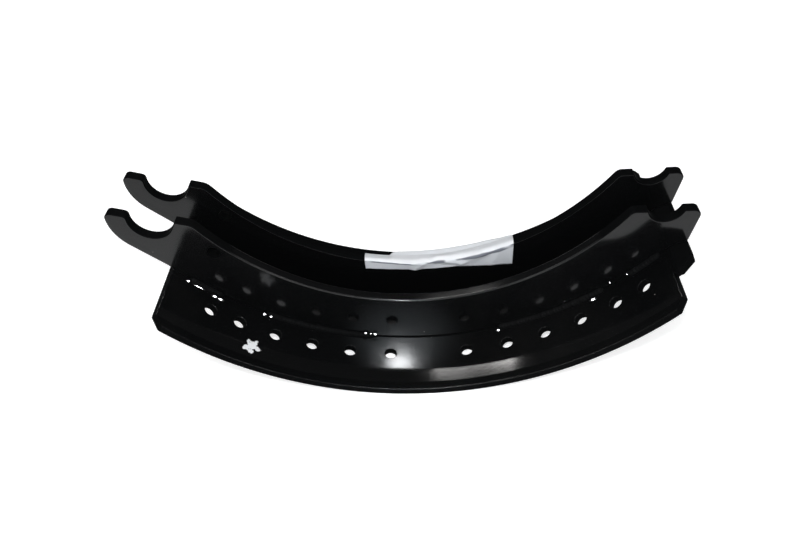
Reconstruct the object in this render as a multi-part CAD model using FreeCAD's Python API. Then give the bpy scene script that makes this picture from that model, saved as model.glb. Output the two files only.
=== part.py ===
import FreeCAD, Part
import math
import os
from FreeCAD import Vector

# Core of a drum brake shoe: a rolled table carried by two profiled webs.
# Each web has an open hook for the anchor pin and an open seat for the cam roller.
# Everything is drawn about the drum axis with the table's middle straight below it,
# then the shoe is turned to the tilt at which it lies still on its table.
# Lengths in millimetres, angles in degrees. Angles on the drum run from straight
# down, positive towards the cam end (+X). The webs stand across Y.

# Table
table_outer_radius = 190.5
table_thickness = 4.8
table_width = 127.0
table_span_angle = 105.5
table_corner = 6.0
tab_bend_lead = 3.0
tab_length = 10.9
tab_tip_width = 59.0
tab_base_width = 80.0
tab_bend_angle = 31.0

# Rivet holes for two lining blocks, one row outside each web. Steps run along the
# table's outer face from the joint between the blocks towards each end
rivet_hole_diameter = 8.0
rivet_row_spacing = 70.0
rivet_joint_shift = 5.8
rivet_joint_gap = 51.6
rivet_steps = [27.8, 25.9, 25.2, 24.8, 20.3]

# Webs. Depths are measured from the table's inner face towards the drum axis
web_thickness = 6.5
web_gap = 27.9
web_depth = 36.7
web_edge_break = 0.5

# Anchor hook. Its tip and wall angles are seen from the anchor pin, from +X towards +Z
anchor_pin_diameter = 25.4
anchor_pin_clearance = 0.1
anchor_axis_depth = 18.5
anchor_axis_angle = -63.5
hook_wall = 12.4
hook_tip_angle = 162.5
hook_wall_angle = 58.5
hook_tip_inner_round = 2.6
hook_tip_outer_round = 3.6
shoulder_depth = 30.0
shoulder_slope_angle = 17.0
shoulder_round = 8.0
shoulder_corner_round = 1.0

# Cam roller seat, a round bottom that is open towards the drum axis
roller_journal_diameter = 20.4
roller_journal_clearance = 0.1
roller_axis_depth = 22.1
roller_axis_angle = 60.8
seat_bottom_angle = 270.0
seat_wrap_angle = 150.0
seat_flat_round = 5.0
seat_lip_round = 0.8
lobe_width = 10.4
lobe_corner_round = 4.5
lobe_nose_round = 2.0

# Hole for the spring that keeps the shoes on the anchor pins
spring_hole_diameter = 8.0
spring_hole_depth = 29.4
spring_hole_angle = -49.9

# Stitch welds along the outer foot of each web: two long ones with a short one beyond
# each. Angles are those of their middles
weld_leg = 3.8
long_weld_length = 68.0
short_weld_length = 18.0
long_weld_angles = [-21.0, 27.7]
short_weld_angles = [-45.4, 48.0]

# Paper label folded over the inner edge of the rear web
label_thickness = 0.4
label_clearance = 0.3
label_length = 99.5
label_start = -35.4
label_drop = 4.4
label_slope_angle = -0.2
label_top_lift = 3.4
label_overhang = 2.6

# Drawing aids: how far cutters run past what they cut, and when two points are one
cutter_overrun = 2.0
same_place = 0.01
square_angle = 90.0

# Values worked out from those above
table_inner_radius = table_outer_radius - table_thickness
half_arc = table_span_angle / 2
bend_angle = half_arc + math.degrees(tab_bend_lead / table_inner_radius)
tab_direction = bend_angle - tab_bend_angle
web_inner_radius = table_inner_radius - web_depth
web_face = web_gap / 2 + web_thickness
notch_radius = anchor_pin_diameter / 2 + anchor_pin_clearance
hook_radius = notch_radius + hook_wall
seat_radius = roller_journal_diameter / 2 + roller_journal_clearance
across = Vector(0, 1, 0)
drum_axis = Vector()


def direction(angle):
    """Unit vector in the web plane, counted from +X towards +Z."""
    return Vector(math.cos(math.radians(angle)), 0, math.sin(math.radians(angle)))


def outward(angle):
    """Unit vector away from the drum axis at an angle on the drum."""
    return direction(angle - square_angle)


def on_drum(radius, angle):
    """Point at a radius and an angle about the drum axis."""
    return outward(angle) * radius


def ray_to_radius(start, heading, radius):
    """First point on a ray that lies at a radius from the drum axis."""
    along = start.dot(heading)
    square = along * along - start.dot(start) + radius * radius
    return start + heading * (-along - math.sqrt(square))


def tangent_point(start, centre, radius):
    """Where a line from start touches a circle on the side away from the drum axis."""
    reach = centre - start
    aside = math.degrees(math.asin(radius / reach.Length))
    return start + direction(bearing(centre, start) + aside) * math.sqrt(reach.Length ** 2 - radius ** 2)


def bearing(point, centre):
    """Direction from a centre to a point, from 0 to 360 degrees."""
    reach = point - centre
    return math.degrees(math.atan2(reach.z, reach.x)) % 360


def arc_edge(centre, radius, first, last):
    """Arc in the web plane between two directions seen from its centre."""
    points = [centre + direction(angle) * radius for angle in (first, (first + last) / 2, last)]
    return Part.Arc(*points).toShape()


def flat_face(points):
    """Face inside a closed outline of straight edges."""
    return Part.Face(Part.makePolygon([*points, points[0]]))


def prism(points, y_low, y_high):
    """Outline in the web plane carried from y_low to y_high."""
    face = flat_face(points)
    face.translate(across * y_low)
    return face.extrude(across * (y_high - y_low))


def turned_band(section, first, last):
    """Outline drawn straight below the drum axis, carried round it between two angles."""
    profile = flat_face(section)
    profile.rotate(drum_axis, across, -first)
    return profile.revolve(drum_axis, across, first - last)


def edges_at(solid, place):
    """Edge that crosses a web at one corner of its outline."""
    found = []
    for edge in solid.Edges:
        low, high = edge.Vertexes[0].Point, edge.Vertexes[-1].Point
        crosses = math.hypot(low.x - high.x, low.z - high.z) < same_place and low != high
        if crosses and math.hypot(low.x - place.x, low.z - place.z) < same_place:
            found.append(edge)
    return found


def make_tab():
    """Turned-out tongue at the cam end, square to the webs."""
    heading = direction(tab_direction) * tab_length
    under = outward(tab_direction) * table_thickness
    start = on_drum(table_inner_radius, bend_angle)
    return prism([start, start + heading, start + heading + under, start + under],
                 -table_width / 2, table_width / 2)


def cam_end_relief(side):
    """Block beside the tongue: a square shoulder that runs out into a slanted side."""
    reach = tab_bend_lead + tab_length + table_thickness
    slant = (tab_base_width - tab_tip_width) / 2
    edge = table_width / 2 + cutter_overrun
    plan = [(0, edge), (0, tab_base_width / 2), (tab_bend_lead, tab_base_width / 2),
            (tab_bend_lead + slant, tab_tip_width / 2), (reach, tab_tip_width / 2), (reach, edge)]
    foot = on_drum(table_inner_radius - reach, half_arc)
    points = [foot + direction(half_arc) * run + across * (side * out) for run, out in plan]
    return flat_face(points).extrude(outward(half_arc) * (2 * reach))


def corner_relief(angle, side):
    """Wedge that takes one corner off the table's end."""
    along = direction(angle) * math.copysign(1, -angle)
    start = on_drum(table_inner_radius - table_corner, angle)
    outer = across * (side * (table_width / 2 + cutter_overrun))
    inner = across * (side * (table_width / 2 - table_corner - cutter_overrun))
    points = [start - along * cutter_overrun + inner, start - along * cutter_overrun + outer,
              start + along * (table_corner + cutter_overrun) + outer]
    return flat_face(points).extrude(outward(angle) * (2 * table_corner + table_thickness))


def rivet_angles():
    """Angles of one row's holes, block by block."""
    angles = []
    for block in (-1, 1):
        for count in range(len(rivet_steps) + 1):
            arc = rivet_joint_shift + block * (rivet_joint_gap / 2 + sum(rivet_steps[:count]))
            angles.append(math.degrees(arc / table_outer_radius))
    return angles


def rivet_hole(angle, side):
    """Drill along a radius through the table."""
    start = on_drum(table_inner_radius - cutter_overrun, angle) + across * (side * rivet_row_spacing / 2)
    length = table_thickness + 2 * cutter_overrun
    return Part.makeCylinder(rivet_hole_diameter / 2, length, start, outward(angle))


def make_table():
    """Rolled plate with a turned-out tongue at the cam end and two rows of rivet holes."""
    edge = table_width / 2
    section = [Vector(0, -edge, -table_inner_radius), Vector(0, edge, -table_inner_radius),
               Vector(0, edge, -table_outer_radius), Vector(0, -edge, -table_outer_radius)]
    plate = turned_band(section, -half_arc, bend_angle).fuse(make_tab()).removeSplitter()
    cutters = []
    for side in (-1, 1):
        cutters.append(cam_end_relief(side))
        cutters.append(corner_relief(-half_arc, side))
        cutters.append(corner_relief(half_arc, side))
        cutters.extend(rivet_hole(angle, side) for angle in rivet_angles())
    return plate.cut(cutters).Solids[0]


def web_corners():
    """Named corners of the web's outline and the centres of its two open seats."""
    anchor = on_drum(table_inner_radius - anchor_axis_depth, anchor_axis_angle)
    roller = on_drum(table_inner_radius - roller_axis_depth, roller_axis_angle)
    foot = on_drum(table_inner_radius, -half_arc)
    nose_start = on_drum(table_inner_radius, bend_angle)
    seat_lip = roller + direction(seat_bottom_angle + seat_wrap_angle / 2) * seat_radius
    seat_step = roller + direction(seat_bottom_angle - seat_wrap_angle / 2) * seat_radius
    wall_foot = anchor + direction(hook_wall_angle - square_angle) * notch_radius
    shoulder = ray_to_radius(wall_foot, direction(hook_wall_angle), table_inner_radius - shoulder_depth)
    return {
        "anchor": anchor,
        "roller": roller,
        "foot": foot,
        "nose_start": nose_start,
        "nose": nose_start + direction(tab_direction) * tab_length,
        "lobe": seat_lip + Vector(lobe_width, 0, 0),
        "seat_lip": seat_lip,
        "seat_step": seat_step,
        "flat_end": Vector(math.sqrt(web_inner_radius ** 2 - seat_step.z ** 2), 0, seat_step.z),
        "shoulder_end": ray_to_radius(shoulder, direction(-shoulder_slope_angle), web_inner_radius),
        "shoulder": shoulder,
        "wall_foot": wall_foot,
        "tip_inner": anchor + direction(hook_tip_angle) * notch_radius,
        "tip_outer": anchor + direction(hook_tip_angle) * hook_radius,
        "hook_tangent": tangent_point(foot, anchor, hook_radius),
    }


def web_outline(at):
    """Closed outline of one web, from the anchor end of its foot round by the cam end."""
    seat_first = seat_bottom_angle + seat_wrap_angle / 2
    notch_first = bearing(at["wall_foot"], at["anchor"])
    edges = [
        arc_edge(drum_axis, table_inner_radius, -half_arc - square_angle, bend_angle - square_angle),
        Part.makeLine(at["nose_start"], at["nose"]),
        Part.makeLine(at["nose"], at["lobe"]),
        Part.makeLine(at["lobe"], at["seat_lip"]),
        arc_edge(at["roller"], seat_radius, seat_first, seat_first - seat_wrap_angle),
        Part.makeLine(at["seat_step"], at["flat_end"]),
        arc_edge(drum_axis, web_inner_radius, bearing(at["flat_end"], drum_axis),
                 bearing(at["shoulder_end"], drum_axis)),
        Part.makeLine(at["shoulder_end"], at["shoulder"]),
        Part.makeLine(at["shoulder"], at["wall_foot"]),
        arc_edge(at["anchor"], notch_radius, notch_first, hook_tip_angle),
        Part.makeLine(at["tip_inner"], at["tip_outer"]),
        arc_edge(at["anchor"], hook_radius, hook_tip_angle, bearing(at["hook_tangent"], at["anchor"])),
        Part.makeLine(at["hook_tangent"], at["foot"]),
    ]
    return Part.Face(Part.Wire(edges))


def on_foot(point, at):
    """Whether a point of the rim lies against the table or its tongue."""
    beyond = Vector(point.x, 0, point.z) - at["nose_start"]
    tongue = direction(tab_direction)
    on_tongue = beyond.cross(tongue).Length < same_place and beyond.dot(tongue) > 0
    return on_tongue or abs(math.hypot(point.x, point.z) - table_inner_radius) < same_place


def break_free_edges(web, at):
    """Chamfer both rims of a web, except along its foot."""
    rims = []
    for edge in web.Edges:
        middle = edge.valueAt((edge.FirstParameter + edge.LastParameter) / 2)
        in_face = abs(edge.Vertexes[0].Y - edge.Vertexes[-1].Y) < same_place
        if in_face and not on_foot(middle, at):
            rims.append(edge)
    return web.makeChamfer(web_edge_break, rims)


def make_web(y_low):
    """Profiled web plate with its corners rounded and its free edges broken."""
    at = web_corners()
    web = web_outline(at).extrude(across * web_thickness)
    rounds = {"lobe": lobe_corner_round, "nose": lobe_nose_round, "seat_lip": seat_lip_round,
              "seat_step": seat_lip_round, "flat_end": seat_flat_round,
              "shoulder_end": shoulder_round, "shoulder": shoulder_corner_round,
              "tip_inner": hook_tip_inner_round, "tip_outer": hook_tip_outer_round}
    for corner, radius in rounds.items():
        web = web.makeFillet(radius, edges_at(web, at[corner]))
    hole_middle = on_drum(table_inner_radius - spring_hole_depth, spring_hole_angle)
    hole = Part.makeCylinder(spring_hole_diameter / 2, web_thickness + 2 * cutter_overrun,
                             hole_middle - across * cutter_overrun, across)
    web = break_free_edges(web, at).cut(hole).Solids[0]
    web.translate(across * y_low)
    return web


def weld_stitch(angle, length, side):
    """Rounded fillet weld in the corner between a web's face and the table."""
    corner = Vector(0, side * web_face, -table_inner_radius)
    half = math.degrees(length / 2 / table_inner_radius)
    disc = Part.Face(Part.Wire(Part.makeCircle(weld_leg, corner, Vector(1, 0, 0))))
    disc.rotate(drum_axis, across, half - angle)
    bead = disc.revolve(drum_axis, across, -2 * half)
    for end in (angle - half, angle + half):
        cap = on_drum(table_inner_radius, end) + across * (side * web_face)
        bead = bead.fuse(Part.makeSphere(weld_leg, cap))
    reach = weld_leg + cutter_overrun
    nearest = min(side * web_face, side * (web_face + reach))
    room = Part.makeCylinder(table_inner_radius, reach, across * nearest, across)
    return bead.common(room).Solids[0]


def weld_beads(side):
    """Long and short stitches along one web."""
    stitches = [weld_stitch(angle, long_weld_length, side) for angle in long_weld_angles]
    stitches += [weld_stitch(angle, short_weld_length, side) for angle in short_weld_angles]
    return Part.makeCompound(stitches)


def make_label():
    """Paper strip: a flap on the rear web's front face and a fold over its inner edge."""
    front = web_gap / 2 - label_clearance
    fold_radius = web_inner_radius - label_clearance
    low = Vector(label_start, 0, -fold_radius - label_drop)
    run = direction(label_slope_angle) * label_length
    rise = direction(label_slope_angle + square_angle) * web_depth
    flap = prism([low, low + run, low + run + rise, low + rise], front - label_thickness, front)
    flap = flap.cut(Part.makeCylinder(fold_radius - label_thickness, web_gap, drum_axis, across))
    first = math.degrees(math.asin(low.x / fold_radius))
    last = math.degrees(math.asin((low.x + run.x) / fold_radius))
    back = web_gap / 2 + web_thickness + label_overhang
    lift = fold_radius - label_top_lift
    section = [Vector(0, front - label_thickness, -fold_radius), Vector(0, back, -lift),
               Vector(0, back, -lift + label_thickness),
               Vector(0, front - label_thickness, -fold_radius + label_thickness)]
    return flap.fuse(turned_band(section, first, last)).removeSplitter().Solids[0]


def rest_turn(solids):
    """Turn about the drum axis that brings the steel's centre of mass below that axis."""
    volume = sum(solid.Volume for solid in solids)
    lever = sum((solid.CenterOfMass * solid.Volume for solid in solids), Vector()) * (1 / volume)
    return math.degrees(math.atan2(lever.x, -lever.z))


table = make_table()
front_web = make_web(-web_face)
rear_web = make_web(web_gap / 2)
nodes = {
    "shoe_table": table,
    "front_web": front_web,
    "rear_web": rear_web,
    "front_weld_beads": weld_beads(-1),
    "rear_weld_beads": weld_beads(1),
    "paper_label": make_label(),
}
turn = rest_turn([table, front_web, rear_web])
os.makedirs("parts", exist_ok=True)
for name, shape in nodes.items():
    shape.rotate(drum_axis, across, turn)
    shape.translate(Vector(0, 0, table_outer_radius))
    shape.exportStep("parts/" + name + ".step")
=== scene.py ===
import math, random
import bpy
from mathutils import Vector, Matrix, noise


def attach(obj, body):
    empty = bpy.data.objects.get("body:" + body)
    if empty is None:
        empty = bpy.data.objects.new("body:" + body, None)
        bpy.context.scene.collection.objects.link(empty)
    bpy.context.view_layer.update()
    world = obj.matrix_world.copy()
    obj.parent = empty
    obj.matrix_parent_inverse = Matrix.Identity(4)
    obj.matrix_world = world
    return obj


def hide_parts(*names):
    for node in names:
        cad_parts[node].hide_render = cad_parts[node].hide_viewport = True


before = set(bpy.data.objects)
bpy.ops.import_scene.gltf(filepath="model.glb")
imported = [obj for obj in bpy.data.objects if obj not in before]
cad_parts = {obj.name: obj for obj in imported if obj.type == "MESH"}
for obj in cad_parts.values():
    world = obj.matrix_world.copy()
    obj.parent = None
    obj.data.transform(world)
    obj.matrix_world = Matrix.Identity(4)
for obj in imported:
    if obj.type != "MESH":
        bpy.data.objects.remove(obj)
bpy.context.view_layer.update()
scene = bpy.context.scene
scene.view_settings.view_transform = "Standard"
print("frame loaded")

shoe = {  # sizes the scene shares with the part, in metres; the last two are distances from the middle plane
    "axisHeight": 0.1905, "tableInner": 0.1857, "webInner": 0.149, "webFace": 0.02045, "webGapHalf": 0.01395,
}


def onDrum(radius, angle, y=0.0):  # angle in degrees from straight down, positive to the cam end
    a = math.radians(angle)
    return Vector((radius * math.sin(a), y, shoe["axisHeight"] - radius * math.cos(a)))


def addMesh(name, points, faces, material, smooth=True):
    mesh = bpy.data.meshes.new(name)
    mesh.from_pydata([tuple(p) for p in points], [], faces)
    mesh.update()
    piece = bpy.data.objects.new(name, mesh)
    scene.collection.objects.link(piece)
    mesh.materials.append(material)
    for face in mesh.polygons:
        face.use_smooth = smooth
    return piece


def gridFaces(columns, rows, wrap=False):  # wrap joins the last row to the first
    faces = []
    for i in range(columns - 1):
        for j in range(rows if wrap else rows - 1):
            k = (j + 1) % rows
            faces.append((i * rows + j, (i + 1) * rows + j, (i + 1) * rows + k, i * rows + k))
    return faces


class Val:  # a shader socket that takes part in Python sums
    def __init__(self, maker, socket):
        self.maker, self.socket = maker, socket

    def __add__(self, other):
        return self.maker.number("ADD", self, other)

    def __radd__(self, other):
        return self.maker.number("ADD", other, self)

    def __sub__(self, other):
        return self.maker.number("SUBTRACT", self, other)

    def __rsub__(self, other):
        return self.maker.number("SUBTRACT", other, self)

    def __mul__(self, other):
        return self.maker.number("MULTIPLY", self, other)

    def __rmul__(self, other):
        return self.maker.number("MULTIPLY", other, self)


class Shader:  # the nodes of one material or world, and the few calls that add to them
    def __init__(self, owner, last="ShaderNodeOutputMaterial"):
        owner.use_nodes = True
        self.owner, self.tree = owner, owner.node_tree
        self.tree.nodes.clear()
        self.out = self.tree.nodes.new(last)

    def node(self, kind, settings, values, output=0):
        made = self.tree.nodes.new(kind)
        for key, value in settings.items():
            setattr(made, key, value)
        for key, value in values.items():
            if isinstance(value, Val):
                self.tree.links.new(value.socket, made.inputs[key])
            else:
                made.inputs[key].default_value = value
        return Val(self, made.outputs[output])

    def number(self, kind, *values):
        return self.node("ShaderNodeMath", {"operation": kind}, dict(enumerate(values)))

    def largest(self, first, *others):
        for other in others:
            first = self.number("MAXIMUM", first, other)
        return first

    def vector(self, kind, *values, output=0):
        return self.node("ShaderNodeVectorMath", {"operation": kind}, dict(enumerate(values)), output)

    def length(self, way):
        return self.vector("LENGTH", way, output="Value")

    def dot(self, first, second):
        return self.vector("DOT_PRODUCT", first, second, output="Value")

    def scaled(self, way, share):
        return self.node("ShaderNodeVectorMath", {"operation": "SCALE"}, {0: way, "Scale": share})

    def place(self):
        return self.node("ShaderNodeTexCoord", {}, {}, "Object")

    def ray(self, kind):
        return self.node("ShaderNodeLightPath", {}, {}, f"Is {kind} Ray")

    def noise(self, at, scale, detail, rough):
        values = {"Vector": at, "Scale": scale, "Detail": detail, "Roughness": rough}
        return self.node("ShaderNodeTexNoise", {}, values, "Fac")

    def step(self, value, low, high, first=0.0, last=1.0):
        values = {"Value": value, "From Min": low, "From Max": high, "To Min": first, "To Max": last}
        return self.node("ShaderNodeMapRange", {"interpolation_type": "SMOOTHSTEP"}, values)

    def blend(self, factor, first, second):
        return self.node("ShaderNodeMix", {"data_type": "RGBA"}, {0: factor, 6: first, 7: second}, 2)

    def bump(self, height, strength, depth, under=None):
        values = {"Height": height, "Strength": strength, "Distance": depth}
        if under:
            values["Normal"] = under
        return self.node("ShaderNodeBump", {}, values)

    def surface(self, color, roughness, ior, normal):
        values = {"Base Color": color, "Roughness": roughness, "IOR": ior, "Normal": normal}
        return self.node("ShaderNodeBsdfPrincipled", {}, values)

    def mixed(self, factor, first, second):
        return self.node("ShaderNodeMixShader", {}, {0: factor, 1: first, 2: second})

    def finish(self, shader):
        self.tree.links.new(shader.socket, self.out.inputs["Surface"])
        return self.owner


# gloss black paint: orange peel, faint waves, a thin dust film, small nicks and rounded edges
# each noise is scale, detail and roughness, each range says where a mask is 0 and where it is 1,
# and each bump is strength and depth
paint = {
    "black": (0.0032, 0.0034, 0.0036, 1), "dust": (0.05, 0.048, 0.045, 1), "chip": (0.16, 0.15, 0.14, 1),
    "film": (11.0, 4.0, 0.6), "filmRange": (0.46, 0.74), "filmShare": 0.05, "filmRough": 0.05,
    "nickScale": 170.0, "nickRange": (0.09, 0.05), "nickRough": 0.3, "nickBump": (0.5, 0.0002),
    "nickPatches": (26.0, 2.0, 0.5), "patchRange": (0.60, 0.66),
    "bendRange": (0.002, 0.03), "bendRough": 0.16, "bevelSamples": 6,  # the coat is rougher round its edges
    "waves": (32.0, 1.5, 0.4), "waveBump": (0.35, 0.00016),
    "peel": (420.0, 2.0, 0.4), "peelBump": (0.25, 0.00003),
    "cutRange": (0.6, 0.5),  # squared cosine that parts a plate's faces from its cut edges
}
coats = {  # edge is the radius of the rounded edges, and nicks is the share of nicks that show
    "tablePaint": {"rough": 0.07, "edge": 0.0009, "nicks": 0.8, "ior": 1.51},
    "frontWebPaint": {"rough": 0.095, "edge": 0.0013, "nicks": 1.0, "ior": 1.51},
    "rearWebPaint": {"rough": 0.095, "edge": 0.0009, "nicks": 1.0, "ior": 1.51},
    "weldPaint": {"rough": 0.5, "edge": 0.0002, "nicks": 0.4, "ior": 1.12},
    "lumpPaint": {"rough": 0.08, "edge": 0.0001, "nicks": 0.0, "ior": 1.51},
}
dullCoat = {"rough": 0.5, "ior": 1.045, "filmShare": 0.04, "grain": (900.0, 2.0, 0.5), "bump": (0.4, 0.0001)}
joint = {  # the dark corner between web and table, which ends at this sine of the angle from straight down
    "gap": 0.0008, "fade": 0.0003, "endSine": 0.795, "endFade": 0.005, "squaredFade": 0.01,
    "past": (0.0009, 0.0006),  # how far it runs past the table's inner face
}
tableLook = {  # the strip along a free edge lies between these distances from the middle plane
    "radialRange": (0.97, 0.995), "stripFrom": 0.0574, "stripTo": 0.0582, "rim": 0.0624,
}
splat = {  # a white blot on the table: its place, size and ragged outline
    "angle": -33.9, "y": -0.0500, "size": 0.0066, "lobes": 5, "turn": 0.9, "lobeShare": 0.19,
    "range": (0.72, 0.62), "ragged": (330.0, 1.5, 0.6),
    "holes": (470.0, 0.0, 0.5), "holeRange": (0.78, 0.73),
    "color": (0.86, 0.87, 0.88, 1), "rough": 0.4, "crust": (600.0, 3.0, 0.6), "bump": (0.8, 0.0006),
}
webLook = {
    "tilt": 0.12, "tiltAngles": (44.5, 53.5), "tiltRadii": (0.182, 0.150),  # the faces lean near the cam end
    "endRough": 0.035, "endRange": (0.03, 0.12),  # squared sine over which they get rougher
    "rimRange": (0.50, 0.56),  # squared sine over which the front web's glossy inner edge turns dull
    "springHole": (-0.1196, 0, 0.0898), "holeRadius": 0.0046,
}


def fromAxis(s, at):  # the way from the drum axis to the point
    return s.vector("MULTIPLY", s.vector("SUBTRACT", at, (0, 0, shoe["axisHeight"])), (1, 0, 1))


def makeBlot(s, at):  # lobes round a middle, with a ragged outline and small holes
    size = splat["size"]
    spot = onDrum(shoe["tableInner"], splat["angle"], splat["y"])
    course = onDrum(1, splat["angle"] + 90) - Vector((0, 0, shoe["axisHeight"]))
    offset = s.vector("SUBTRACT", at, tuple(spot))
    spin = s.number("ARCTAN2", s.dot(offset, (0, 1, 0)), s.dot(offset, tuple(course)))
    lobe = s.number("COSINE", spin * splat["lobes"] + splat["turn"]) * (size * splat["lobeShare"])
    ragged = s.length(offset) - lobe + (s.noise(at, *splat["ragged"]) - 0.5) * size
    blot = s.step(ragged, *[size * share for share in splat["range"]])
    return blot * s.step(s.noise(at, *splat["holes"]), *splat["holeRange"])


def tableMarks(s, at, flat, rounded):
    outward = s.vector("NORMALIZE", fromAxis(s, at))
    facing = s.dot(flat, outward)
    # away from its edges the table's normal is exactly radial
    radial = s.scaled(outward, s.number("SIGN", facing))
    inside = s.step(s.dot(radial, rounded), *tableLook["radialRange"])
    normal = s.node("ShaderNodeMix", {"data_type": "VECTOR"}, {0: inside, 4: rounded, 5: radial}, 1)
    # dull: the cut edges, all between the webs, a strip along each free edge and the tongue
    aside = s.number("ABSOLUTE", s.dot(at, (0, 1, 0)))
    corner = shoe["webFace"] + joint["gap"]
    cut = s.step(facing * facing, *paint["cutRange"])
    between = s.step(aside, corner + joint["fade"], corner)
    strip = s.step(aside, tableLook["stripFrom"], tableLook["stripTo"])
    strip = strip * s.step(aside, tableLook["rim"] + joint["fade"], tableLook["rim"])
    tongue = s.step(s.dot(outward, (1, 0, 0)), joint["endSine"], joint["endSine"] + joint["endFade"])
    return {"normal": normal, "dull": s.largest(cut, between, strip, tongue), "blot": makeBlot(s, at)}


def webMarks(s, at, flat, rounded, glossyRim=None):
    reach = fromAxis(s, at)
    radius, outward = s.length(reach), s.vector("NORMALIZE", reach)
    across = s.dot(outward, (1, 0, 0))
    squared = across * across
    low, high = (math.sin(math.radians(angle)) for angle in webLook["tiltAngles"])
    lean = s.step(radius, *webLook["tiltRadii"]) * (s.step(across, low, high) * webLook["tilt"])
    normal = s.vector("NORMALIZE", s.vector("ADD", rounded, s.scaled(outward, 0 - lean)))
    # dull: the foot's line along the table, the wall of the spring hole and the cut edges
    foot, end = shoe["tableInner"] - joint["gap"], joint["endSine"] ** 2
    line = s.step(radius, foot - joint["fade"], foot)
    line = line * s.step(radius, *[shoe["tableInner"] + past for past in joint["past"]])
    line = line * s.step(squared, end + joint["squaredFade"], end)
    hole = s.vector("DISTANCE", s.vector("MULTIPLY", at, (1, 0, 1)), webLook["springHole"], output="Value")
    wall = s.step(hole, webLook["holeRadius"] + joint["fade"], webLook["holeRadius"])
    sideways = s.dot(flat, (0, 1, 0))
    cut = s.step(sideways * sideways, *paint["cutRange"])
    if glossyRim:
        cut = cut * s.step(squared, *glossyRim)
    rough = s.step(squared, *webLook["endRange"]) * webLook["endRough"]
    return {"normal": normal, "dull": s.largest(wall, line, cut), "rough": rough}


def frontWebMarks(s, at, flat, rounded):
    return webMarks(s, at, flat, rounded, webLook["rimRange"])


def makePaint(name, marks=None):
    s, coat = Shader(bpy.data.materials.new(name)), coats[name]
    at = s.place()
    film = s.step(s.noise(at, *paint["film"]), *paint["filmRange"])
    cell = s.node("ShaderNodeTexVoronoi", {}, {"Vector": at, "Scale": paint["nickScale"]}, "Distance")
    patch = s.step(s.noise(at, *paint["nickPatches"]), *paint["patchRange"])
    nick = s.step(cell, *paint["nickRange"]) * patch * coat["nicks"]
    flat = s.node("ShaderNodeNewGeometry", {}, {}, "True Normal")
    rounded = s.node("ShaderNodeBevel", {"samples": paint["bevelSamples"]}, {"Radius": coat["edge"]})
    bend = s.step(1 - s.dot(flat, rounded), *paint["bendRange"])
    color = s.blend(film * paint["filmShare"], paint["black"], paint["dust"])
    color = s.blend(nick, color, paint["chip"])
    rough = coat["rough"] + film * paint["filmRough"] + nick * paint["nickRough"] + bend * paint["bendRough"]
    found = {"normal": rounded}
    if marks:
        found.update(marks(s, at, flat, rounded))
    normal = s.bump(s.noise(at, *paint["waves"]), *paint["waveBump"], found["normal"])
    normal = s.bump(s.noise(at, *paint["peel"]), *paint["peelBump"], normal)
    normal = s.bump(1 - nick, *paint["nickBump"], normal)
    if "rough" in found:
        rough = rough + found["rough"]
    if "blot" in found:
        color = s.blend(found["blot"], color, splat["color"])
        rough = rough + found["blot"] * splat["rough"]
        normal = s.bump(found["blot"] * s.noise(at, *splat["crust"]), *splat["bump"], normal)
    shader = s.surface(color, rough, coat["ior"], normal)
    if "dull" in found:  # cut faces and corners take only a thin dull coat
        grain = s.bump(s.noise(at, *dullCoat["grain"]), *dullCoat["bump"])
        thin = s.blend(film * dullCoat["filmShare"], paint["black"], paint["dust"])
        shader = s.mixed(found["dull"], shader, s.surface(thin, dullCoat["rough"], dullCoat["ior"], grain))
    return s.finish(shader)


nodePaints = {
    "shoe_table": makePaint("tablePaint", tableMarks),
    "front_web": makePaint("frontWebPaint", frontWebMarks),
    "rear_web": makePaint("rearWebPaint", webMarks),
}
weldPaint, lumpPaint = makePaint("weldPaint"), makePaint("lumpPaint")
for nodeName, material in nodePaints.items():
    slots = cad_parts[nodeName].data.materials
    slots.clear()
    slots.append(material)
print("paint ready")

# stitch welds: a bead of overlapping ripples in the corner between web and table
weld = {
    "leg": 0.0031, "long": 0.068, "short": 0.018, "longAt": (-21.0, 27.7), "shortAt": (-45.4, 48.0),
    "steps": 13, "pitch": 0.00035,  # points round the bead and their spacing along it
    "sink": 0.0004,  # how deep the bead sits in the plates
    "slim": 0.80, "bulge": 0.16,  # shares of the leg: the bead's reach, and what it gains halfway round
    "ripple": 0.0021, "rippleDepth": 0.10, "lean": 0.0016, "sway": 0.05, "seed": 11,
}
lump = {  # drops of weld metal, whose flat sides turn towards one point above and in front of the shoe
    "facing": (0.0114, -0.290, 0.3635), "flat": 6, "thick": 0.42, "rings": 15, "sides": 16,
    "drops": [  # angle, distances out from the web and up from the table, half-sizes along and across
        (-49.3, 0.0034, 0.0010, 0.0017, 0.0012), (-47.0, 0.0036, 0.0012, 0.0046, 0.0003),
        (-43.4, 0.0042, 0.0008, 0.0024, 0.0009), (-42.2, 0.0044, 0.0008, 0.0026, 0.0012),
        (-32.9, 0.0026, 0.0016, 0.0016, 0.0012), (-31.5, 0.0028, 0.0016, 0.0015, 0.0010),
        (-11.5, 0.0012, 0.0032, 0.0014, 0.0010), (-10.4, 0.0016, 0.0036, 0.0007, 0.0006),
        (-9.5, 0.0014, 0.0030, 0.0017, 0.0009), (16.4, 0.0032, 0.0006, 0.0017, 0.0012),
        (36.6, 0.0050, 0.0008, 0.0024, 0.0010), (31.4, 0.0010, 0.0058, 0.0004, 0.0007),
        (41.0, 0.0012, 0.0034, 0.0006, 0.0004), (44.6, 0.0010, 0.0020, 0.0005, 0.0003)],
}


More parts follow.
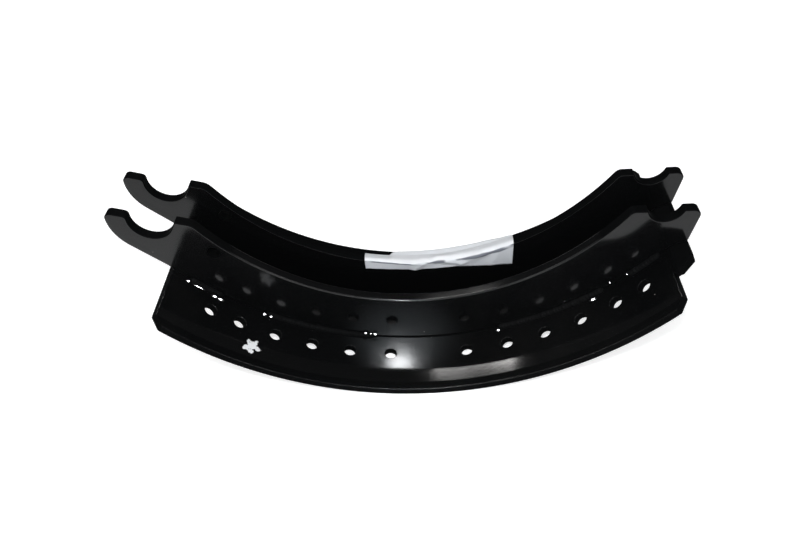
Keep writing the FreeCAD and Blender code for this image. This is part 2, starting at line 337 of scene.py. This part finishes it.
def weldStitch(angle, length, side, seed):  # rows run across the bead, columns along it
    rand = random.Random(seed)
    full = length + 2 * weld["leg"]
    columns = int(full / weld["pitch"]) + 1
    sway = [rand.uniform(-1, 1) for _ in range(int(full / weld["ripple"]) + 3)]
    points = []
    for i in range(columns):
        run = full * i / (columns - 1)
        toEnd = min(run, full - run) / weld["leg"]
        swell = math.sqrt(max(0.0, 1 - (1 - min(toEnd, 1)) ** 2))
        turn = angle + math.degrees((run - full / 2) / shoe["tableInner"])
        sunk = side * (shoe["webFace"] - weld["sink"])
        points.append(onDrum(shoe["tableInner"] + weld["sink"], turn, sunk))
        for j in range(weld["steps"] - 1):
            phi = math.pi / 2 * j / (weld["steps"] - 2)
            belly = math.sin(2 * phi)
            beat = (run + weld["lean"] * belly) / weld["ripple"]
            valley = weld["rippleDepth"] * (1 - abs(math.sin(math.pi * beat))) * belly
            lift = 1 - valley + weld["sway"] * sway[int(beat) % len(sway)]
            reach = weld["leg"] * swell * (weld["slim"] + weld["bulge"] * belly) * lift
            up = reach * math.cos(phi) - weld["sink"] * math.sin(phi)
            out = reach * math.sin(phi) - weld["sink"] * math.cos(phi)
            points.append(onDrum(shoe["tableInner"] - up, turn, side * (shoe["webFace"] + out)))
    return points, columns


def weldLump(values, side):  # a flattened drop, half sunk in the corner
    angle, out, up, along, across = values
    middle = onDrum(shoe["tableInner"] - up, angle, side * (shoe["webFace"] + out))
    shine = Vector(lump["facing"])
    shine.y *= -side
    normal = (shine - middle).normalized()
    first = (onDrum(1, angle + 1) - onDrum(1, angle)).normalized()
    first = (first - normal * first.dot(normal)).normalized()
    second = normal.cross(first)
    points = []
    for i in range(lump["rings"]):
        polar = math.pi * i / (lump["rings"] - 1)
        wide = math.sin(polar)
        height = lump["thick"] * across * math.sqrt(max(0.0, 1 - wide ** lump["flat"]))
        centre = middle + normal * math.copysign(height, math.cos(polar))
        for j in range(lump["sides"]):
            turn = 2 * math.pi * j / lump["sides"]
            spoke = first * along * math.cos(turn) + second * across * math.sin(turn)
            points.append(centre + wide * spoke)
    return points


def makeWelds(name, nodeName, side):
    points, faces = [], []
    stitches = [(angle, weld["long"]) for angle in weld["longAt"]]
    stitches += [(angle, weld["short"]) for angle in weld["shortAt"]]
    for count, (angle, length) in enumerate(stitches):
        stitch, columns = weldStitch(angle, length, side, weld["seed"] + count)
        base = len(points)
        points += stitch
        for face in gridFaces(columns, weld["steps"], True):
            faces.append(tuple(base + k for k in (face if side < 0 else face[::-1])))
    beads = len(faces)
    for values in lump["drops"]:
        base = len(points)
        points += weldLump(values, side)
        for face in gridFaces(lump["rings"], lump["sides"], True):
            faces.append(tuple(base + k for k in (face if side > 0 else face[::-1])))
    piece = addMesh(name, points, faces, weldPaint)
    piece.data.materials.append(lumpPaint)
    for face in piece.data.polygons[beads:]:
        face.material_index = 1
    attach(piece, "root")
    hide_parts(nodeName)


makeWelds("frontWelds", "front_weld_beads", -1)
makeWelds("rearWelds", "rear_weld_beads", 1)
print("welds ready")

# creased paper label, folded over the rear web's inner rim, with x along it and v across it:
# v is -1 at its lower edge, 0 at the crease and 1 at its upper edge
label = {
    "thickness": 0.00012, "columns": 150, "rows": 34, "gap": 0.00035,
    "bottom": [  # x and depth below the drum axis
        (-0.0354, 0.1526), (-0.020, 0.1540), (-0.003, 0.1552), (0.012, 0.1548), (0.026, 0.1536),
        (0.042, 0.1539), (0.064, 0.1534)],
    "crease": [  # x and distance out from the web
        (-0.0354, 0.0), (-0.018, 0.0003), (-0.003, 0.0017), (-0.001, 0.0015), (0.014, 0.0002),
        (0.028, 0.0006), (0.040, 0.0010), (0.064, 0.0003)],
    "edge": [  # x and reach across the rim
        (-0.0354, 0.0069), (-0.019, 0.0071), (-0.0165, 0.0090), (0.010, 0.0091), (0.030, 0.0091),
        (0.046, 0.0089), (0.064, 0.0076)],
    "lift": [  # x and height of the upper edge past the web's outer face
        (-0.0354, 0.0001), (-0.019, 0.0002), (-0.0165, 0.0017), (0.010, 0.0032), (0.030, 0.0033),
        (0.064, 0.0022)],
    "liftReach": 0.0026, "liftMost": 1.3,  # distance over which it lifts, and the most of it
    "arch": 0.0005,  # how far the paper stands off the rim
    "folds": [  # x and v of both ends, and height
        (-0.002, -1.0, 0.004, 0.1, 0.9), (0.014, 0.1, 0.030, -0.55, 0.8), (0.030, -0.55, 0.044, 0.05, 0.7),
        (0.012, 0.25, 0.060, 0.85, 0.7), (-0.012, 1.0, 0.018, 0.35, 0.35), (0.034, 0.0, 0.064, 0.5, 0.5),
        (-0.030, 0.2, -0.012, 0.7, 0.25), (0.050, -1.0, 0.056, 0.0, 0.4)],
    "foldHeight": 0.00115, "foldWidth": 0.45, "halfWidth": 0.009,
    "ruffle": 0.00035, "ruffleAlong": 120, "ruffleAcross": 1.6, "ruffleSeed": 4.0,
}
paper = {
    "white": (0.85, 0.86, 0.88, 1), "shade": (0.80, 0.81, 0.835, 1),
    "stains": (60.0, 3.0, 0.55), "stainRange": (0.45, 0.75),
    "flap": (0.70, 0.72, 0.755, 1), "flapRange": (0.03, -0.03),  # painted shade: a darker copy of the paper colour on the part between the webs
    "over": (0.57, 0.58, 0.60, 1), "overRange": (0.18, 0.50),  # painted shade: a darker copy of the paper colour on the part past the rim
    # painted shadow: a dark line drawn just below the crease
    "line": (0.10, 0.11, 0.14, 1), "creaseShadowShare": 0.9, "creaseShadowFrom": (-0.18, -0.11), "creaseShadowTo": (0.03, 0.0),
    "breaks": (70.0, 1.0, 0.5), "breakRange": (0.38, 0.52),  # gaps in the crease's painted shadow line
    "fibres": (1500.0, 3.0, 0.6), "fibreBump": (0.2, 0.00005),
    "dents": (210.0, 2.0, 0.5), "dentBump": (0.35, 0.0002),
    "rough": 0.62, "roughSpread": 0.1, "ior": 1.45,
}


def along(table, x):  # straight-line value between listed points
    for (x0, v0), (x1, v1) in zip(table, table[1:]):
        if x <= x1:
            return v0 + (v1 - v0) * max(0.0, (x - x0) / (x1 - x0))
    return table[-1][1]


def foldHeight(x, v):  # ridges and valleys that fade away from each fold line
    height = 0.0
    for x0, v0, x1, v1, share in label["folds"]:
        dx, dv = (x1 - x0) / label["halfWidth"], v1 - v0
        px, pv = (x - x0) / label["halfWidth"], v - v0
        run = min(1.0, max(0.0, (px * dx + pv * dv) / (dx * dx + dv * dv)))
        away = math.hypot(px - dx * run, pv - dv * run)
        height += share * max(0.0, 1 - away / label["foldWidth"])
    return height * label["foldHeight"]


def labelPoint(x, v):
    rim = math.sqrt(shoe["webInner"] ** 2 - x * x)
    out, fold = along(label["crease"], x), foldHeight(x, v)
    y, depth = shoe["webGapHalf"] - label["gap"], rim - label["gap"]
    spot = Vector((x * label["ruffleAlong"], v * label["ruffleAcross"], label["ruffleSeed"]))
    ruffle = abs(noise.noise(spot)) * label["ruffle"]
    if v <= 0:  # the part that hangs between the webs
        y -= out * (1 + v) + fold + ruffle
        depth += (along(label["bottom"], x) - rim) * -v
    else:  # the part that lies across the rim
        y += along(label["edge"], x) * v - out * (1 - v) ** 2
        past = max(0.0, (y - shoe["webFace"]) / label["liftReach"])
        depth -= along(label["lift"], x) * min(label["liftMost"], past)
        depth -= fold + label["arch"] * math.sin(math.pi * v) + ruffle
    return Vector((x, y, shoe["axisHeight"] - depth))


def makePaper():
    s = Shader(bpy.data.materials.new("labelPaper"))
    at = s.place()
    fibre = s.noise(at, *paper["fibres"])
    fold = s.node("ShaderNodeAttribute", {"attribute_name": "fold"}, {}, "Fac")
    stain = s.step(s.noise(at, *paper["stains"]), *paper["stainRange"])
    color = s.blend(stain, paper["white"], paper["shade"])
    # painted shade: a darker paper colour on the part that hangs between the webs
    color = s.blend(s.step(fold, *paper["flapRange"]), color, paper["flap"])
    # painted shade: a darker paper colour on the part past the rim
    color = s.blend(s.step(fold, *paper["overRange"]), color, paper["over"])
    # painted shadow along the crease, with gaps
    line = s.step(fold, *paper["creaseShadowFrom"]) * s.step(fold, *paper["creaseShadowTo"])
    line = line * s.step(s.noise(at, *paper["breaks"]), *paper["breakRange"])
    color = s.blend(line * paper["creaseShadowShare"], color, paper["line"])
    normal = s.bump(fibre, *paper["fibreBump"])
    normal = s.bump(s.noise(at, *paper["dents"]), *paper["dentBump"], normal)
    return s.finish(s.surface(color, paper["rough"] + fibre * paper["roughSpread"], paper["ior"], normal))


def makeLabel():
    points, folds = [], []
    first, last = label["bottom"][0][0], label["bottom"][-1][0]
    for i in range(label["columns"]):
        x = first + (last - first) * i / (label["columns"] - 1)
        for j in range(label["rows"]):
            v = -1 + 2 * j / (label["rows"] - 1)
            points.append(labelPoint(x, v))
            folds.append(v)
    piece = addMesh("paperLabel", points, gridFaces(label["columns"], label["rows"]), makePaper())
    piece.data.attributes.new("fold", "FLOAT", "POINT").data.foreach_set("value", folds)
    solid = piece.modifiers.new("thickness", "SOLIDIFY")
    solid.thickness, solid.offset = label["thickness"], 0.0
    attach(piece, "root")
    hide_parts("paper_label")


makeLabel()
print("label ready")

# floor and surroundings: white to the camera, with their light on the shoe kept low
studio = {
    "white": 1.0, "floorSize": 9.0, "floorColor": (0.8, 0.8, 0.8, 1),
    "nearGlow": 0.62, "farGlow": 1.0, "fadeFrom": 0.22, "fadeTo": 0.6,  # weaker where the shadow falls
    "glossShare": 0.11, "worldLight": 0.12, "worldGloss": 0.04,
}


def makeFloor():
    s = Shader(bpy.data.materials.new("floorWhite"))
    seen, mirrored, through = (s.ray(kind) for kind in ("Camera", "Glossy", "Transmission"))
    away = s.length(s.place())
    glow = s.step(away, studio["fadeFrom"], studio["fadeTo"], studio["nearGlow"], studio["farGlow"])
    matte = s.node("ShaderNodeBsdfDiffuse", {}, {"Color": studio["floorColor"]})
    dark = s.node("ShaderNodeEmission", {}, {"Color": (0, 0, 0, 1), "Strength": 0.0})
    white = s.node("ShaderNodeEmission", {}, {"Color": (1, 1, 1, 1), "Strength": studio["white"]})
    light = s.mixed((seen + through + mirrored * studio["glossShare"]) * glow, dark, white)
    both = s.node("ShaderNodeAddShader", {}, {0: matte, 1: light})
    half = studio["floorSize"] / 2
    corners = [(-half, -half, 0), (half, -half, 0), (half, half, 0), (-half, half, 0)]
    floor = addMesh("floor", corners, [(0, 1, 2, 3)], s.finish(both), False)


def makeWorld():
    s = Shader(bpy.data.worlds.new("studioAir"), "ShaderNodeOutputWorld")
    plain, dim, white = (
        s.node("ShaderNodeBackground", {}, {"Color": (1, 1, 1, 1), "Strength": studio[key]})
        for key in ("worldLight", "worldGloss", "white"))
    air = s.mixed(s.ray("Glossy"), plain, dim)
    scene.world = s.finish(s.mixed(s.ray("Camera"), air, white))


makeFloor()
makeWorld()
print("floor and surroundings ready")

# camera at the photograph's angle: the target is seen from the drum axis, and focal and shifts are in pixels
shot = {
    "rise": 45.84, "turn": 0.59, "roll": -3.566, "distance": 0.43448, "target": (0.00329, 0.0, -0.15033),
    "imageWidth": 800, "focal": 653.73, "shiftX": -8.28, "shiftY": 4.59, "sensor": 36.0, "clip": (0.01, 50),
}


def rolled(v):  # turns a direction about the drum axis
    a = math.radians(shot["roll"])
    return Vector((v[0] * math.cos(a) - v[2] * math.sin(a), v[1], v[2] * math.cos(a) + v[0] * math.sin(a)))


def placed(spot, axes):  # the matrix of a thing at the spot, turned to three axes
    return Matrix.Translation(spot) @ Matrix(axes).transposed().to_4x4()


def makeCamera():
    e, a = math.radians(shot["rise"]), math.radians(shot["turn"])
    back = Vector((math.sin(a) * math.cos(e), -math.cos(a) * math.cos(e), math.sin(e)))
    right = Vector((math.cos(a), math.sin(a), 0))
    spot = Vector(shot["target"]) + back * shot["distance"]
    data = bpy.data.cameras.new("camera")
    data.sensor_width = shot["sensor"]
    data.lens = shot["sensor"] * shot["focal"] / shot["imageWidth"]
    data.shift_x, data.shift_y = shot["shiftX"] / shot["imageWidth"], shot["shiftY"] / shot["imageWidth"]
    data.clip_start, data.clip_end = shot["clip"]
    cam = bpy.data.objects.new("camera", data)
    axes = [rolled(v) for v in (right, back.cross(right), back)]
    cam.matrix_world = placed(rolled(spot) + Vector((0, 0, shoe["axisHeight"])), axes)
    scene.collection.objects.link(cam)
    scene.camera = cam
    return cam, axes


camera, cameraAxes = makeCamera()
print("camera ready")

# flash just above the camera, with a softer ring and haze round it and a bright rib beside it
# each is a disc, offset from the camera to its right, up and back
flash = {
    "core": {
        "size": (0.036, 0.0165), "radiance": 600.0,
        "offset": (-0.010, 0.0362, 0.004), "color": (0.96, 0.98, 1.0)},
    "inner": {
        "size": (0.048, 0.033), "radiance": 3.2,
        "offset": (-0.0105, 0.0285, 0.008), "color": (0.88, 0.94, 1.0)},
    "halo": {
        "size": (0.068, 0.050), "radiance": 6.5,
        "offset": (-0.0125, 0.0205, 0.012), "color": (0.84, 0.91, 1.0)},
    "haze": {  # a stack of discs, each wider and further back than the last
        "size": (0.066, 0.052), "widest": (0.150, 0.112), "layers": 9, "spacing": 0.0015, "radiance": 0.78,
        "offset": (-0.012, 0.000, 0.015), "color": (0.84, 0.94, 1.0)},
    "rib": {
        "size": (0.0016, 0.034), "radiance": 55.0,
        "offset": (0.023, 0.028, 0.006), "color": (0.9, 0.95, 1.0)},
}
# flat lamps round the shoe: a strip of window behind it, the ceiling, and boxes at its sides and in front
# ends are azimuths and heights in degrees, seen from the floor's middle
panels = {
    "window": {
        "ends": ((-8.5, 53.0), (-32.0, 45.0)), "distance": 1.6, "height": 0.085,
        "radiance": 24.0, "color": (1.0, 0.99, 0.97)},
    "ceiling": {
        "ends": ((-90.0, 72.0), (90.0, 72.0)), "distance": 1.5, "height": 0.7,
        "radiance": 1.15, "color": (1, 1, 1)},
    "leftBox": {
        "ends": ((-136.0, 42.0), (-100.0, 42.0)), "distance": 1.8, "height": 0.27,
        "radiance": 7.0, "color": (1, 1, 1)},
    "rightBox": {
        "ends": ((100.0, 42.0), (136.0, 42.0)), "distance": 1.8, "height": 0.27,
        "radiance": 7.0, "color": (1, 1, 1)},
    "frontBox": {
        "ends": ((155.0, 20.0), (205.0, 20.0)), "distance": 1.5, "height": 0.5,
        "radiance": 2.2, "color": (1, 1, 1)},
}


def addLamp(name, shape, size, values, spot, axes):
    data = bpy.data.lights.new(name, "AREA")
    data.shape = shape
    data.size, data.size_y = size
    area = data.size * data.size_y * (math.pi / 4 if shape == "ELLIPSE" else 1)
    data.energy = values["radiance"] * math.pi * area
    data.color = values["color"]
    lamp = bpy.data.objects.new(name, data)
    lamp.matrix_world = placed(spot, axes)
    scene.collection.objects.link(lamp)


def addFlash(name, values):
    spot = camera.matrix_world.translation.copy()
    for axis, amount in zip(cameraAxes, values["offset"]):
        spot += axis * amount
    layers = values.get("layers", 1)
    for layer in range(layers):
        share = layer / max(1, layers - 1)
        size = [a + (b - a) * share for a, b in zip(values["size"], values.get("widest", values["size"]))]
        behind = cameraAxes[2] * values.get("spacing", 0) * layer
        addLamp(f"{name}{layer}", "ELLIPSE", size, values, spot + behind, cameraAxes)


def aim(azimuth, height):  # direction from the floor's middle, azimuth from +Y towards +X
    a, e = math.radians(azimuth), math.radians(height)
    return Vector((math.sin(a) * math.cos(e), math.cos(a) * math.cos(e), math.sin(e)))


def addPanel(name, values):
    first, last = (values["distance"] * aim(*end) for end in values["ends"])
    middle, width = (first + last) / 2, (last - first).length
    out, side = middle.normalized(), (last - first).normalized()
    addLamp(name, "RECTANGLE", (width, values["height"]), values, middle, [side, out.cross(side), out])


for name, values in flash.items():
    addFlash(name, values)
for name, values in panels.items():
    addPanel(name, values)
print("lamps ready")
